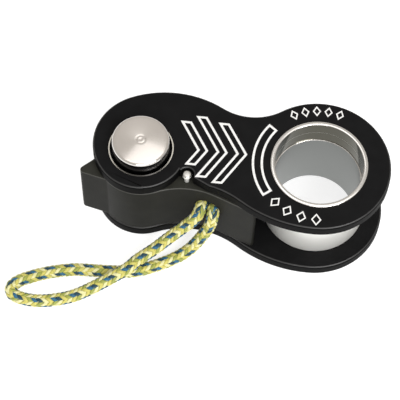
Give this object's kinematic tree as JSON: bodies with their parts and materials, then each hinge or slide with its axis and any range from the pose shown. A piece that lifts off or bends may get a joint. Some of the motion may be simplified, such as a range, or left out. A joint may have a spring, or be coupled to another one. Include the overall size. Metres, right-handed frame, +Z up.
{
  "type": "rope clamp",
  "caption": "Compact cam rope clamp: two black cheeks on a pivot pin, a spring-closed cam with a pull cord, and a steel-lined eye for a carabiner.",
  "frame": {"origin": "on the eye's axis, at the ground that the device stands on (the lower eyelet's lip)", "axes": "+Z up along the eye's axis, +X from the pivot towards the eye, along the device's length; the cord leaves the front, on the -Y side"},
  "size_m": [0.0846, 0.0477, 0.0269],
  "materials": {
    "black_anodised": "black anodised aluminium, satin, with bare bright lines on the top face",
    "cam_anodised": "dark olive-black anodised aluminium, satin",
    "polished_steel": "polished stainless steel",
    "turned_steel": "stainless steel, fine turned finish",
    "satin_steel": "satin grey stainless steel",
    "spring_steel": "drawn spring wire",
    "bronze": "machined bronze",
    "cord": "braided polyester, yellow-green with blue flecks"
  },
  "bodies": {
    "frame": {"lower_cheek": "black_anodised", "lower_eyelet": "satin_steel", "rope_sleeve": "turned_steel", "pivot_pin": "turned_steel", "pin_tail_washer": "turned_steel", "lower_thrust_washer": "bronze", "upper_thrust_washer": "bronze", "wave_washer": "spring_steel", "torsion_spring": "spring_steel"},
    "swing_cheek": {"upper_cheek": "black_anodised", "upper_eyelet": "polished_steel", "head_cup": "turned_steel"},
    "cam_arm": {"cam": "cam_anodised", "cam_bush": "bronze", "stop_pin": "turned_steel", "pull_cord": "cord", "cord_knot": "cord"}
  },
  "joints": [
    {"name": "cam_swing", "type": "hinge", "parent": "frame", "child": "cam_arm", "pos_m": [-0.0401, 0, 0.0118], "axis": [0, 0, 1], "range_deg": [-45, 0], "stiffness_Nm_per_rad": 0.04, "springref_deg": 34.38, "deforming": ["torsion_spring"]},
    {"name": "cheek_swing", "type": "hinge", "parent": "frame", "child": "swing_cheek", "pos_m": [-0.0401, 0, 0.0217], "axis": [0, 0, 1], "range_deg": [0, 105]}
  ]
}
